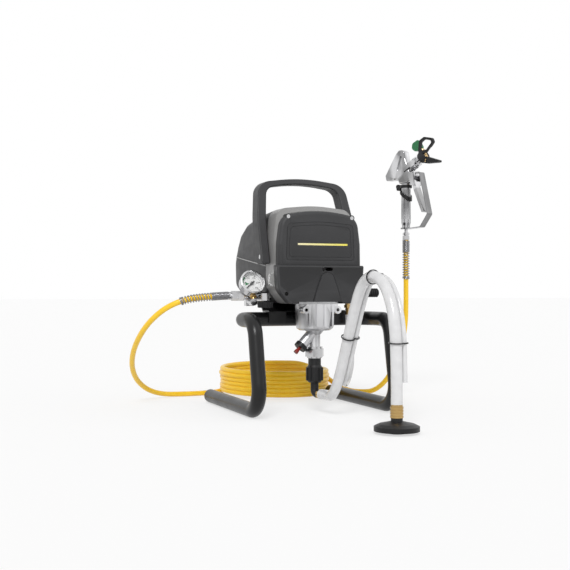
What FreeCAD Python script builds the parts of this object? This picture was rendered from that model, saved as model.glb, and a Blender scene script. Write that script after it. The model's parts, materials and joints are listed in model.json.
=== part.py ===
"""Airless paint sprayer on a bent-tube skid: electric piston pump, suction set, pressure hose and spray gun.

Millimetres, +Z up. x runs to the right seen from the front, y to the back, z = 0 is the floor. The sizes below
are measured from the middle between the feet; ORIGIN moves the finished pieces to the centre of the base.
"""
import FreeCAD, Part
import math
import os

V = FreeCAD.Vector
X, Y, Z = V(1, 0, 0), V(0, 1, 0), V(0, 0, 1)
ORIGIN = V(90, 45, 0)     # centre of the rigid model's footprint, seen from the middle between the feet

# ---- clearances -------------------------------------------------------------------------------------------
RUN = 0.05                 # radial running fit of a shaft in its bore
GAP = 0.3                  # air between pieces of different bodies
SEAT = 0.05                # air between pieces that are screwed or pushed together

# ---- skid frame -------------------------------------------------------------------------------------------
TUBE_R, TUBE_WALL = 14.0, 2.0
FOOT_X = 140.0             # half the distance between the two feet
FOOT_LENGTH = 318.0
LEG_TOP_Z = 182.0          # centre line of the cross bar
LEG_LEAN = 35.0            # how far the leg's top sits behind its foot
BAR_Y = 132.0
FOOT_BEND_R, TOP_BEND_R = 42.0, 36.0
CAP_THICK, CAP_DEPTH = 5.0, 18.0
BORE_DEPTH = 230.0          # the tube's bore is modelled in the straight feet only
BRACKET_HALF, BRACKET_THICK = 82.0, 3.0
BRACKET_BACK = 238.0

# ---- casing -----------------------------------------------------------------------------------------------
WALL = 2.6
CASE_BOTTOM, CASE_TOP = 213.0, 396.0
SEAM_Z = 287.0             # line between the two front covers
COVER_HALF = 86.0
COVER_FRONT, COVER_BACK = 50.0, 66.0
LOWER_PROUD = 5.0          # how far the lower front cover stands out in front of and beside the upper one
MID_BACK = 124.0
FRONT_SHOULDER, REAR_SHOULDER = 0.165, 0.125   # radius of the casing's shoulders as a share of its height
REAR_BACK = 335.0
SEAM_RISE = 22.0 / 181.0   # slope of the side seam towards the back
SEAM_THICK = 1.6
SCREW_R, SCREW_HEAD_R = 2.0, 3.6
VENT_PITCH, VENT_HALF, VENT_TALL = 11.0, 2.2, 14.0
HANDLE_Y, HANDLE_BASE_Z = 112.0, 290.0
HANDLE_LEAN = 17.0
HANDLE_DEPTH = 34.0
HANDLE_HALF, HANDLE_TOP = 103.5, 467.0
HANDLE_BAR, HANDLE_ROUND = 10.5, 2.5

# ---- drive ------------------------------------------------------------------------------------------------
PUMP_Y = 80.0              # the pump's axis stands at x = 0
GEAR_MODULE, PINION_TEETH, GEAR_TEETH = 1.25, 12, 60
MOTOR_Z = 318.0
GEAR_Z = MOTOR_Z - GEAR_MODULE * (PINION_TEETH + GEAR_TEETH) / 2
GEAR_Y, GEAR_WIDTH = 124.0, 11.0
SHAFT_R, ROTOR_R, STATOR_R = 6.0, 28.0, 50.0
STATOR_Y, STATOR_LENGTH = 190.0, 70.0
CRANK_THROW, CRANK_PIN_R = 6.0, 5.0
STROKE_HALF = 6.0
PLATE_Y, PLATE_THICK = 102.0, 10.0

# ---- pump -------------------------------------------------------------------------------------------------
ROD_R, CYL_R = 8.0, 10.0
CAST_TOP, CAST_BOTTOM = 212.4, 161.0
NECK_R, NUT_TOP, NUT_BOTTOM = 11.0, 129.0, 106.6
EAR_SPACING, EAR_HOLE_R, EAR_Z = 66.0, 3.2, 201.0
UNION_BOTTOM, STEM_BOTTOM = 59.0, 34.0
PUSHER_BOSS, PUSHER_TRAVEL = 45.0, 3.0
ELBOW_DIR = V(0.3, -0.954, 0)
SUCTION_R, RETURN_R, HOSE_R = 10.0, 4.5, 5.5
STRAINER_X, STRAINER_Y = 20.0, -227.0
CLIP_OFFSET = 15.3         # return hose beside the suction hose

# ---- outlet side ------------------------------------------------------------------------------------------
GAUGE_C = V(-113, 128, 253)
GAUGE_R, GAUGE_TILT = 25.0, 25.0
MANIFOLD_Y, MANIFOLD_Z = 147.0, 228.0
KNOB_C, KNOB_R, KNOB_H = V(-97, 95, 205), 15.0, 12.0
RELIEF_C, RELIEF_R = V(92, 100, 234), 9.0

# ---- hose, coil and gun -----------------------------------------------------------------------------------
COIL_C, COIL_R, COIL_TURNS, COIL_PITCH = V(43, 422, 0), 120.5, 6.2, 11.2
GUN_C, GUN_YAW = V(295, 255, 0), -68.8
BARREL_TILT = 28.0
SWIVEL_Z, GRIP_BOTTOM, GRIP_TOP, GRIP_R = 352.0, 376.0, 478.0, 10.5
TIP_U, TIP_Z = 54.0, 535.0
TRIGGER_PIVOT = (23.0, 496.0)
STRAP, TAB_U, TAB_Z = 1.8, 29.0, 498.0   # trigger guard: thickness and place of its tab in the body


# ---- small helpers ----------------------------------------------------------------------------------------
def block(x0, x1, y0, y1, z0, z1):
    return Part.makeBox(x1 - x0, y1 - y0, z1 - z0, V(x0, y0, z0))


def rod(radius, start, way, length):
    return Part.makeCylinder(radius, length, start, way)


def ring(outer, inner, start, way, length):
    return rod(outer, start, way, length).cut(rod(inner, start - way * 1.0, way, length + 2))


def cone(r0, r1, start, way, length):
    return Part.makeCone(r0, r1, length, start, way)


def hexagon(flats, start, way, length):
    """Hexagonal bar with the given width across flats."""
    corner = flats / math.sqrt(3)
    points = [V(corner * math.cos(math.radians(60 * i)), corner * math.sin(math.radians(60 * i)), 0)
              for i in range(7)]
    solid = Part.Face(Part.makePolygon(points)).extrude(V(0, 0, length))
    solid.Placement = FreeCAD.Placement(start, FreeCAD.Rotation(Z, way))
    return solid


def corner_arc(before, point, after, radius):
    """Tangent arc that rounds the corner at point, as its two ends and its middle."""
    a, b = (before - point).normalize(), (after - point).normalize()
    half = a.getAngle(b) / 2
    reach = radius / math.tan(half)
    bisector = (a + b).normalize()
    middle = point + bisector * (radius / math.sin(half) - radius)
    return point + a * reach, middle, point + b * reach


def path_wire(points, radii):
    """Open wire of straight runs joined by tangent arcs, one radius for each inner point."""
    edges, at = [], points[0]
    for i in range(1, len(points) - 1):
        start, middle, end = corner_arc(points[i - 1], points[i], points[i + 1], radii[i - 1])
        if (start - at).Length > 1e-6:
            edges.append(Part.LineSegment(at, start).toShape())
        edges.append(Part.Arc(start, middle, end).toShape())
        at = end
    if (points[-1] - at).Length > 1e-6:
        edges.append(Part.LineSegment(at, points[-1]).toShape())
    return Part.Wire(edges)


def outline(points, radii, place):
    """Closed wire through 2-D points with rounded corners, carried into space by place(u, v)."""
    pts = [place(u, v) for u, v in points]
    n, edges, ends = len(pts), [], []
    for i, p in enumerate(pts):
        if radii[i] > 0:
            ends.append(corner_arc(pts[i - 1], p, pts[(i + 1) % n], radii[i]))
        else:
            ends.append((p, None, p))
    for i in range(n):
        start, middle, end = ends[i]
        if middle is not None:
            edges.append(Part.Arc(start, middle, end).toShape())
        follow = ends[(i + 1) % n][0]
        if (follow - end).Length > 1e-6:
            edges.append(Part.LineSegment(end, follow).toShape())
    return Part.Wire(edges)


def plate(points, radii, place, depth):
    """Flat plate with rounded outline, extruded along the vector depth."""
    return Part.Face(outline(points, radii, place)).extrude(depth)


def sweep(path, radius):
    """Round bar along a wire of runs and arcs: cylinders and torus bends joined end to end."""
    pieces = []
    for edge in path.Edges:
        a, b = edge.FirstParameter, edge.LastParameter
        start, way = edge.valueAt(a), edge.tangentAt(a)
        if edge.Orientation == "Reversed":
            start, way = edge.valueAt(b), -edge.tangentAt(b)
        if isinstance(edge.Curve, Part.Line):
            pieces.append(rod(radius, start, way, edge.Length))
            continue
        centre = edge.Curve.Center
        axis = (start - centre).cross(way).normalize()
        profile = Part.Face(Part.Wire(Part.makeCircle(radius, start, way)))
        pieces.append(profile.revolve(centre, axis, math.degrees(edge.Length / edge.Curve.Radius)))
    return pieces[0].fuse(pieces[1:]) if len(pieces) > 1 else pieces[0]


def cord(name, points, radius):
    """Free hose as runs and arcs, each arc as large as its two runs allow; prints what a hose bender checks."""
    radii = []
    for before, point, after in zip(points, points[1:], points[2:]):
        a, b = point - before, after - point
        radii.append(0.45 * min(a.Length, b.Length) / math.tan(a.getAngle(b) / 2))
    path = path_wire(points, radii)
    tube = sweep(path, radius)
    ratio = tube.Volume / (math.pi * radius ** 2 * path.Length)
    print(name, "length %.0f" % path.Length, "volume ratio %.4f" % ratio,
          "arc radii", " ".join("%.0f" % r for r in radii))
    return tube


def turned(shape, centre, axis, degrees):
    copy = shape.copy()
    copy.rotate(centre, axis, degrees)
    return copy


def mirrored(shape):
    return shape.mirror(V(0, 0, 0), X)


# ---- skid frame -------------------------------------------------------------------------------------------
def skid_points():
    side = [V(-FOOT_X, FOOT_LENGTH, TUBE_R), V(-FOOT_X, 0, TUBE_R),
            V(-FOOT_X, LEG_LEAN, LEG_TOP_Z), V(-FOOT_X, BAR_Y, LEG_TOP_Z)]
    return side + [V(-p.x, p.y, p.z) for p in reversed(side)]


def frame_tube():
    radii = [FOOT_BEND_R, TOP_BEND_R, TOP_BEND_R]
    tube = sweep(path_wire(skid_points(), radii + radii[::-1]), TUBE_R)
    for s in (-1, 1):
        tube = tube.cut(rod(TUBE_R - TUBE_WALL, V(s * FOOT_X, FOOT_LENGTH + 1, TUBE_R), -Y, BORE_DEPTH))
    return tube


def foot_end_caps():
    bore = TUBE_R - TUBE_WALL
    plug = rod(bore - SEAT, V(-FOOT_X, FOOT_LENGTH - CAP_DEPTH, TUBE_R), Y, CAP_DEPTH + 1)
    head = rod(TUBE_R, V(-FOOT_X, FOOT_LENGTH + SEAT, TUBE_R), Y, CAP_THICK)
    head = head.makeFillet(2.5, [e for e in head.Edges if abs(e.CenterOfMass.y - FOOT_LENGTH - SEAT - CAP_THICK) < 0.1
                                 and len(e.Vertexes) == 1])
    cap = plug.fuse(head)
    return [cap, mirrored(cap)]


def motor_bracket():
    """Bent sheet: front lip, flat over the cross bar, step up to the shelf that carries the motor casing."""
    low, high = LEG_TOP_Z + TUBE_R + SEAT, CASE_BOTTOM - SEAT
    t, lip = BRACKET_THICK, BAR_Y - TUBE_R - SEAT - BRACKET_THICK
    profile = [(lip, 174), (lip + t, 174), (lip + t, low), (152, low), (166, high - t), (BRACKET_BACK, high - t),
               (BRACKET_BACK, high), (164, high), (150, low + t), (lip, low + t)]
    radii = [0, 0, 1, 3, 3, 0, 0, 3, 3, 3]
    sheet = plate(profile, radii, lambda y, z: V(-BRACKET_HALF, y, z), V(2 * BRACKET_HALF, 0, 0))
    sheet = sheet.cut(block(-46, 42, lip - 1, lip + t + 1, 170, low))
    for x in (-60, 60):
        sheet = sheet.cut(rod(3.2, V(x, 225, high - 10), Z, 20)).cut(rod(3.2, V(x, 180, high - 10), Z, 20))
    return sheet


def bracket_screws():
    top = CASE_BOTTOM - SEAT - BRACKET_THICK
    return [hexagon(9, V(x, y, top - 4 - SEAT), Z, 4).fuse(rod(2.5, V(x, y, top - 1), Z, 12))
            for x in (-60, 60) for y in (180, 225)]


# ---- casing -----------------------------------------------------------------------------------------------
def case_section(y, half_top, half_bottom, bottom, top, crown, share, inset=0.0):
    """Casing outline at y: flat bottom, tapered sides, round shoulders and a crowned roof."""
    t, b, z0, z1 = half_top - inset, half_bottom - inset, bottom + inset, top - inset
    waist = z0 + 34 + 0.6 * (z1 - crown - z0 - 34)
    points = [(-b + 24, z0), (b - 24, z0), (b, z0 + 34), (t + 2, waist), (t - 5, z1 - crown), (0, z1),
              (-t + 5, z1 - crown), (-t - 2, waist), (-b, z0 + 34)]
    shoulder = share * (top - bottom) - inset
    radii = [14, 14, 16, 50, shoulder, 300, shoulder, 50, 16]
    return outline(points, radii, lambda u, v: V(u, y, v))


FRONT = (COVER_HALF - 2, COVER_HALF + 1, CASE_BOTTOM, CASE_TOP, 13, FRONT_SHOULDER)
MID = (COVER_HALF - 3, COVER_HALF - 0.5, CASE_BOTTOM, CASE_TOP + 9, 8, REAR_SHOULDER)
REAR = [(MID_BACK,) + MID,
        (210, COVER_HALF - 3, COVER_HALF - 0.5, CASE_BOTTOM, CASE_TOP + 3, 8, REAR_SHOULDER),
        (268, COVER_HALF - 3, COVER_HALF - 0.5, CASE_BOTTOM, CASE_TOP - 8, 8, REAR_SHOULDER),
        (300, COVER_HALF - 4, COVER_HALF - 1.5, CASE_BOTTOM, CASE_TOP - 23, 8, REAR_SHOULDER),
        (322, COVER_HALF - 6, COVER_HALF - 4, CASE_BOTTOM + 4, CASE_TOP - 45, 7, REAR_SHOULDER),
        (332, COVER_HALF - 8, COVER_HALF - 7, CASE_BOTTOM + 8, CASE_TOP - 62, 6, REAR_SHOULDER),
        (REAR_BACK, COVER_HALF - 12, COVER_HALF - 11, CASE_BOTTOM + 12, CASE_TOP - 70, 6, REAR_SHOULDER)]
CAVITY_BACK = 318.0        # the rear casing is hollow up to here


def casing_loft(sections, inset):
    wires = [case_section(*s, inset=inset) for s in sections]
    return Part.makeLoft(wires, True, True)


def seam_z(y):
    return SEAM_Z + (y - MID_BACK) * SEAM_RISE


def seam_wedge(upper):
    """Everything above, or below, the side seam of the rear casing."""
    y0, y1, lift = MID_BACK - 5, REAR_BACK + 10, SEAM_THICK / 2 + SEAT
    if upper:
        corners = [(y0, seam_z(y0) + lift), (y1, seam_z(y1) + lift), (y1, 500), (y0, 500)]
    else:
        corners = [(y0, seam_z(y0) - lift), (y1, seam_z(y1) - lift), (y1, 150), (y0, 150)]
    return plate(corners, [0] * 4, lambda y, z: V(-150, y, z), V(300, 0, 0))


def rear_cavity():
    first = (REAR[0][0] - 1,) + REAR[0][1:]
    return casing_loft([first] + REAR[1:4] + [(CAVITY_BACK,) + REAR[4][1:]], WALL)


def rear_body():
    """Hollow rear casing: closed at the back, open to the front."""
    outer = casing_loft(REAR, 0)
    return outer.cut(rear_cavity())


def rear_shell():
    """Upper rear shell with a row of upright vent slots in its back."""
    shell = rear_body().common(seam_wedge(True))
    low = seam_z(REAR_BACK) - 4
    for i in range(7):
        x = VENT_PITCH * (i - 3)
        shell = shell.cut(block(x - VENT_HALF, x + VENT_HALF, REAR_BACK - 45, REAR_BACK + 5, low + 9, low + 9 + VENT_TALL))
    return shell


def lower_shell():
    shell = rear_body().common(seam_wedge(False))
    for x in (-60, 60):
        for y in (180, 225):
            shell = shell.cut(rod(2.5 + SEAT, V(x, y, CASE_BOTTOM - 5), Z, 30))
    return shell.cut(rod(7 + SEAT, V(40, REAR_BACK - 40, 250), Y, 60)).cut(
        block(-46 - GAP, -34 + GAP, REAR_BACK - 40, REAR_BACK + 10, 242.2, 263.8)).cut(
        rod(8 + SEAT, V(-110, MANIFOLD_Y, MANIFOLD_Z), X, 60))


def shell_gasket():
    """Thin light bead squeezed between the two rear shells, standing slightly proud of them."""
    proud = [(s[0], s[1] + 0.8, s[2] + 0.8) + s[3:] for s in REAR]
    proud[-1] = (REAR_BACK + 0.8,) + proud[-1][1:]
    body = casing_loft(proud, 0).cut(rear_cavity())
    lift = SEAM_THICK / 2
    y0, y1 = MID_BACK + SEAT, REAR_BACK + 10
    slab = plate([(y0, seam_z(y0) - lift), (y1, seam_z(y1) - lift), (y1, seam_z(y1) + lift),
                  (y0, seam_z(y0) + lift)], [0] * 4, lambda y, z: V(-150, y, z), V(300, 0, 0))
    return body.common(slab)


def mid_shell():
    """Light metal-look shell between the front covers and the rear casing, open at both ends."""
    y0, y1 = COVER_BACK + SEAT, MID_BACK - SEAT
    front = (COVER_HALF - 4, COVER_HALF - 1, CASE_BOTTOM, CASE_TOP + 1, 12, FRONT_SHOULDER)
    outer = casing_loft([(y0,) + front, (y0 + 16,) + MID, (y1,) + MID], 0)
    shell = outer.cut(casing_loft([(y0 - 1,) + front, (y0 + 16,) + MID, (y1 + 1,) + MID], WALL))
    shell = shell.cut(block(-50, 50, y0 - 1, y1 + 1, CASE_BOTTOM - 5, CASE_BOTTOM + 8))
    for s in (-1, 1):
        shell = shell.cut(rod(SCREW_R + SEAT, V(s * 70, HANDLE_Y, HANDLE_BASE_Z + 14), X * s, 40))
    shell = shell.cut(rod(6 + SEAT, V(70, RELIEF_C.y, RELIEF_C.z), X, 30))
    return shell


def cover_screw_places():
    """The four cover screws: (x, z)."""
    return [(-66, CASE_TOP - 16), (67, CASE_TOP - 16), (-72, 232), (72, 232)]


def front_cover():
    outer = casing_loft([(COVER_FRONT,) + FRONT, (COVER_BACK,) + FRONT], 0)
    outer = outer.common(block(-120, 120, 0, 200, SEAM_Z + SEAT, 500))
    rim = [e for e in outer.Edges if abs(e.CenterOfMass.y - COVER_FRONT) < 0.01 and e.CenterOfMass.z > SEAM_Z + 2]
    outer = outer.makeFillet(7, rim)
    inner = casing_loft([(COVER_FRONT + WALL,) + FRONT, (COVER_BACK + 1,) + FRONT], WALL + 1)
    cover = outer.cut(inner.common(block(-120, 120, 0, 200, SEAM_Z - 1, 500)))
    for grow in (0, 6):
        cover = cover.cut(panel_groove(grow))
    for x, z in cover_screw_places()[:2]:
        cover = cover.fuse(rod(5.5, V(x, COVER_FRONT + 1, z), Y, COVER_BACK - COVER_FRONT - 1))
        cover = cover.cut(rod(SCREW_R + SEAT, V(x, COVER_FRONT - 5, z), Y, 50))
        cover = cover.cut(rod(SCREW_HEAD_R + GAP, V(x, COVER_FRONT - 5, z), Y, 8))
    return cover


def panel_groove(inset):
    """Shallow groove that frames the flat field of the upper cover."""
    def frame(extra):
        half, low, high = 72 - inset - extra, SEAM_Z + 9 + inset + extra, CASE_TOP - 24 - inset - extra
        points = [(-half, low), (half, low), (half - 3, high - 5), (0, high), (-half + 3, high - 5)]
        return plate(points, [6, 6, 10, 300, 10], lambda u, v: V(u, COVER_FRONT - 1, v), V(0, 1.8, 0))
    return frame(0).cut(frame(1.2))


def lower_cover():
    half, low, front = COVER_HALF + LOWER_PROUD, CASE_BOTTOM, COVER_FRONT - LOWER_PROUD
    points = [(-half + 26, low), (half - 26, low), (half - 3, low + 26), (half, SEAM_Z - SEAT),
              (-half, SEAM_Z - SEAT), (-half + 3, low + 26)]
    radii = [12, 12, 26, 3, 3, 26]
    outer = plate(points, radii, lambda u, v: V(u, front, v), V(0, COVER_BACK - front, 0))
    outer = outer.makeFillet(4, [e for e in outer.Edges if abs(e.BoundBox.YMax - front) < 0.01])
    w = WALL
    inner = [(-half + 26, low + w), (half - 26, low + w), (half - 3 - w, low + 26), (half - w, SEAM_Z - w),
             (-half + w, SEAM_Z - w), (-half + 3 + w, low + 26)]
    cover = outer.cut(plate(inner, [10, 10, 23, 1, 1, 23], lambda u, v: V(u, front + w, v), V(0, 60, 0)))
    bell = [(-29, low + 4), (29, low + 4), (22, low + 26), (11, low + 56), (0, low + 61), (-11, low + 56),
            (-22, low + 26)]
    moat = [(-30.5, low + 2.5), (30.5, low + 2.5), (23.7, low + 26.5), (12.5, low + 57), (0, low + 62.6),
            (-12.5, low + 57), (-23.7, low + 26.5)]
    cover = cover.cut(plate(moat, [2, 2, 60, 10, 10, 10, 60], lambda u, v: V(u + 12, front - 3, v), V(0, 4.2, 0)))
    cover = cover.fuse(plate(bell, [2, 2, 60, 9, 9, 9, 60], lambda u, v: V(u + 12, front - 2, v), V(0, 4, 0)))
    slot = [(2, SEAM_Z - 11), (24, SEAM_Z - 11), (24, SEAM_Z - 4), (2, SEAM_Z - 4)]
    cover = cover.cut(plate(slot, [3.4] * 4, lambda u, v: V(u, front - 2, v), V(0, 8, 0)))
    cover = cover.cut(block(-46, 44, PUMP_Y - 40, COVER_BACK + 5, low - 1, low + w + 1))
    for x, z in cover_screw_places()[2:]:
        cover = cover.fuse(rod(5.5, V(x, front + 1, z), Y, COVER_BACK - front - 1))
        cover = cover.cut(rod(SCREW_R + SEAT, V(x, front - 5, z), Y, 50))
        cover = cover.cut(rod(SCREW_HEAD_R + GAP, V(x, front - 5, z), Y, 8))
    return cover


def cover_screws():
    """Pan-head screws sunk in their pockets, with a cross slot."""
    screws = []
    for (x, z), front in zip(cover_screw_places(), [COVER_FRONT] * 2 + [COVER_FRONT - LOWER_PROUD] * 2):
        head = rod(SCREW_HEAD_R, V(x, front + 1, z), Y, 2 - SEAT)
        head = head.cut(block(x - 2.4, x + 2.4, front, front + 1.8, z - 0.4, z + 0.4))
        head = head.cut(block(x - 0.4, x + 0.4, front, front + 1.8, z - 2.4, z + 2.4))
        screws.append(head.fuse(rod(SCREW_R, V(x, front + 2, z), Y, COVER_BACK - front - 3)))
    return screws


def carry_handle():
    """Strap handle: a hoop that leans back, wide limbs that thin to the grip bar."""
    base, half, top = HANDLE_BASE_Z, HANDLE_HALF, HANDLE_TOP
    lean = math.radians(HANDLE_LEAN)
    rise = (top - base) / math.cos(lean)
    inside = COVER_HALF + GAP
    outer = [(-half, 0), (-half, rise * 0.5), (-half + 10, rise - 13), (0, rise), (half - 10, rise - 13),
             (half, rise * 0.5), (half, 0)]
    inner = [(inside, 0), (inside - 1, rise * 0.5), (inside - 9, rise - 24), (0, rise - HANDLE_BAR),
             (-inside + 9, rise - 24), (-inside + 1, rise * 0.5), (-inside, 0)]
    radii = [6, 200, 32, 330, 32, 200, 6, 4, 150, 22, 300, 22, 150, 4]
    front = HANDLE_Y - HANDLE_DEPTH / 2
    place = lambda u, v: V(u, front + v * math.sin(lean), base + v * math.cos(lean))
    hoop = plate(outer + inner, radii, place, V(0, HANDLE_DEPTH, 0))
    depth = lambda p: p.y - (p.z - base) * math.tan(lean) - front
    rims = [e for e in hoop.Edges if max(depth(p) for p in e.discretize(5)) - min(depth(p) for p in e.discretize(5)) < 0.01]
    hoop = hoop.makeFillet(HANDLE_ROUND, rims)
    for s in (-1, 1):
        hoop = hoop.cut(rod(SCREW_R + SEAT, V(s * 80, HANDLE_Y, base + 14), X * s, 40))
        hoop = hoop.cut(rod(5, V(s * (HANDLE_HALF - 3), HANDLE_Y, base + 14), X * s, 20))
    return hoop


def case_screws():
    """Pan-head screws of the front covers and the two handle screws in the shell's sides."""
    return cover_screws() + [rod(SCREW_R, V(s * 78, HANDLE_Y, HANDLE_BASE_Z + 14), X * s, HANDLE_HALF - 80).fuse(
            rod(4.5, V(s * (HANDLE_HALF - 3 + SEAT), HANDLE_Y, HANDLE_BASE_Z + 14), X * s, 2.5)) for s in (-1, 1)]


# ---- motor and gears --------------------------------------------------------------------------------------
def gear_blank(teeth, centre, width, phase):
    """Spur gear with straight-flanked teeth, thinned for backlash."""
    pitch = GEAR_MODULE * teeth / 2
    tip, root = pitch + 0.9 * GEAR_MODULE, pitch - 1.2 * GEAR_MODULE
    step = 2 * math.pi / teeth
    points = []
    for i in range(teeth):
        a = i * step + phase
        for radius, share in ((root, -0.32), (tip, -0.10), (tip, 0.10), (root, 0.32)):
            points.append(V(centre.x + radius * math.cos(a + share * step), centre.y,
                            centre.z + radius * math.sin(a + share * step)))
    return Part.Face(Part.makePolygon(points + points[:1])).extrude(V(0, width, 0))


def motor_rotor():
    """Rotor stack, shaft, commutator and the pinion cut on the shaft's front end."""
    shaft = rod(SHAFT_R, V(0, GEAR_Y + GEAR_WIDTH, MOTOR_Z), Y, STATOR_Y + STATOR_LENGTH + 36 - GEAR_Y - GEAR_WIDTH)
    stack = rod(ROTOR_R, V(0, STATOR_Y, MOTOR_Z), Y, STATOR_LENGTH)
    commutator = rod(15, V(0, STATOR_Y + STATOR_LENGTH + 6, MOTOR_Z), Y, 12)
    pinion = gear_blank(PINION_TEETH, V(0, GEAR_Y, MOTOR_Z), GEAR_WIDTH + 1, -math.pi / 2)
    return shaft.fuse([stack, commutator, pinion])


def cooling_fan():
    hub_y = STATOR_Y - 22
    fan = ring(14, SHAFT_R + RUN, V(0, hub_y, MOTOR_Z), Y, 12)
    fan = fan.fuse(ring(40, 10, V(0, hub_y + 10, MOTOR_Z), Y, 2))
    blade = block(12, 39, hub_y + 1, hub_y + 11, MOTOR_Z - 0.8, MOTOR_Z + 0.8)
    return fan.fuse([turned(blade, V(0, 0, MOTOR_Z), Y, 45 * i + 20) for i in range(8)])


def motor_stator():
    """Laminated ring with two field windings at each end and the feet that reach the lower shell."""
    body = ring(STATOR_R, ROTOR_R + GAP, V(0, STATOR_Y, MOTOR_Z), Y, STATOR_LENGTH)
    winding = ring(STATOR_R - 6, ROTOR_R + 3, V(0, STATOR_Y - 8, MOTOR_Z), Y, STATOR_LENGTH + 16)
    foot = block(-30, 30, STATOR_Y + 10, STATOR_Y + STATOR_LENGTH - 10, CASE_BOTTOM + WALL + SEAT, MOTOR_Z - 40)
    foot = foot.cut(rod(STATOR_R - 2, V(0, STATOR_Y, MOTOR_Z), Y, STATOR_LENGTH))
    return body.fuse([winding, foot])


def motor_end_frame():
    """Rear plate of the motor: holds the rear bearing and stands on the lower shell."""
    y = STATOR_Y + STATOR_LENGTH + 24
    disc = rod(44, V(0, y, MOTOR_Z), Y, 8).fuse(block(-20, 20, y, y + 8, CASE_BOTTOM + WALL + SEAT, MOTOR_Z - 30))
    stays = [rod(3, V(s * 38, STATOR_Y + STATOR_LENGTH + 8 + SEAT, MOTOR_Z), Y, 18) for s in (-1, 1)]
    frame = disc.fuse(stays)
    return frame.cut(rod(13, V(0, y - 5, MOTOR_Z), Y, 40))


def bearings():
    """Ball bearings as plain rings: motor front and rear, gear shaft front and rear."""
    rear = STATOR_Y + STATOR_LENGTH + 24
    return [ring(13 - SEAT, SHAFT_R + RUN, V(0, rear, MOTOR_Z), Y, 8),
            ring(13 - SEAT, SHAFT_R + RUN, V(0, 146, MOTOR_Z), Y, 8),
            ring(15 - SEAT, 8 + RUN, V(0, PLATE_Y, GEAR_Z), Y, PLATE_THICK),
            ring(15 - SEAT, 8 + RUN, V(0, 146, GEAR_Z), Y, 8)]


def gear_housing():
    """Aluminium gear case behind the covers: two bearing plates tied by posts, standing on the pump head."""
    low = CAST_TOP + SEAT
    face = [(-46, low), (46, low), (46, 300), (30, 345), (-30, 345), (-46, 300)]
    front = plate(face, [4, 4, 10, 14, 14, 10], lambda u, v: V(u, PLATE_Y, v), V(0, PLATE_THICK, 0))
    back = [(u, max(v, CASE_BOTTOM + WALL + SEAT)) for u, v in face]
    rear = plate(back, [4, 4, 10, 14, 14, 10], lambda u, v: V(u, 146, v), V(0, 8, 0))
    deck = block(-42, 42, 60, PLATE_Y + 1, low, low + 5)
    deck = deck.cut(rod(ROD_R + 2, V(0, PUMP_Y, low - 1), Z, 10))
    posts = [rod(4, V(s * 40, PLATE_Y + 5, z), Y, 146 - PLATE_Y) for s in (-1, 1) for z in (228, 310)]
    house = front.fuse([rear, deck] + posts)
    for centre, hole in ((V(0, 0, MOTOR_Z), 13), (V(0, 0, GEAR_Z), 15)):
        house = house.cut(rod(hole, centre + V(0, 142, 0), Y, 20))
    house = house.cut(rod(15, V(0, PLATE_Y - 2, GEAR_Z), Y, 20)).cut(rod(14, V(0, PLATE_Y - 2, MOTOR_Z), Y, 20))
    return house.cut(block(-20, 20, 140, 160, low - 1, 230))


def drive_gear():
    """Large gear, its shaft, the crank disc in front of the bearing plate and the crank pin."""
    phase = math.pi / 2 + math.pi / GEAR_TEETH
    gear = gear_blank(GEAR_TEETH, V(0, GEAR_Y, GEAR_Z), GEAR_WIDTH, phase)
    for i in range(5):
        hole = rod(6.5, V(23, GEAR_Y - 1, GEAR_Z), Y, GEAR_WIDTH + 2)
        gear = gear.cut(turned(hole, V(0, 0, GEAR_Z), Y, 72 * i))
    shaft = rod(8, V(0, PLATE_Y - 8, GEAR_Z), Y, 154 - PLATE_Y + 8)
    disc = rod(14, V(0, PLATE_Y - 8, GEAR_Z), Y, 8 - GAP)
    pin = rod(CRANK_PIN_R, V(CRANK_THROW, PUMP_Y - 7, GEAR_Z), Y, PLATE_Y - PUMP_Y)
    return gear.fuse([shaft, disc, pin])


# ---- pump -------------------------------------------------------------------------------------------------
def piston_yoke():
    """Strap that the crank pin lifts and lowers; its eye is wide enough for the pin's whole circle."""
    eye = CRANK_THROW + CRANK_PIN_R + STROKE_HALF + 1
    y0, depth = PUMP_Y - 6, 12
    strap = ring(eye + 5, eye, V(0, y0, GEAR_Z), Y, depth)
    stem = block(-7, 7, y0, y0 + depth, GEAR_Z - eye - 16, GEAR_Z - eye - 3)
    collar = rod(11, V(0, PUMP_Y, GEAR_Z - eye - 17), Z, 9)
    yoke = strap.fuse([stem, collar])
    return yoke.cut(rod(ROD_R - 2 + SEAT, V(0, PUMP_Y, GEAR_Z - eye - 30), Z, 26))


def piston_rod():
    """Hard-chromed rod, its spigot in the yoke and the piston head with two seal grooves."""
    eye = CRANK_THROW + CRANK_PIN_R + STROKE_HALF + 1
    top = GEAR_Z - eye - 17
    body = rod(ROD_R, V(0, PUMP_Y, 152), Z, top - SEAT - 152).fuse(rod(ROD_R - 2, V(0, PUMP_Y, 150), Z, top + 12 - 150))
    head = rod(CYL_R - RUN, V(0, PUMP_Y, 140), Z, 14)
    for z in (143, 148):
        head = head.cut(ring(CYL_R + 1, CYL_R - 1.5, V(0, PUMP_Y, z), Z, 2))
    return body.fuse(head)


def rod_packing():
    return ring(ROD_R + 5 - SEAT, ROD_R + RUN, V(0, PUMP_Y, CAST_TOP - 16), Z, 14)


def pusher_frame():
    """Start and direction of the inlet-valve pusher, 45 degrees down to the left."""
    way = V(-1, -0.15, -1).normalize()
    return V(0, PUMP_Y, 161), way


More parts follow.
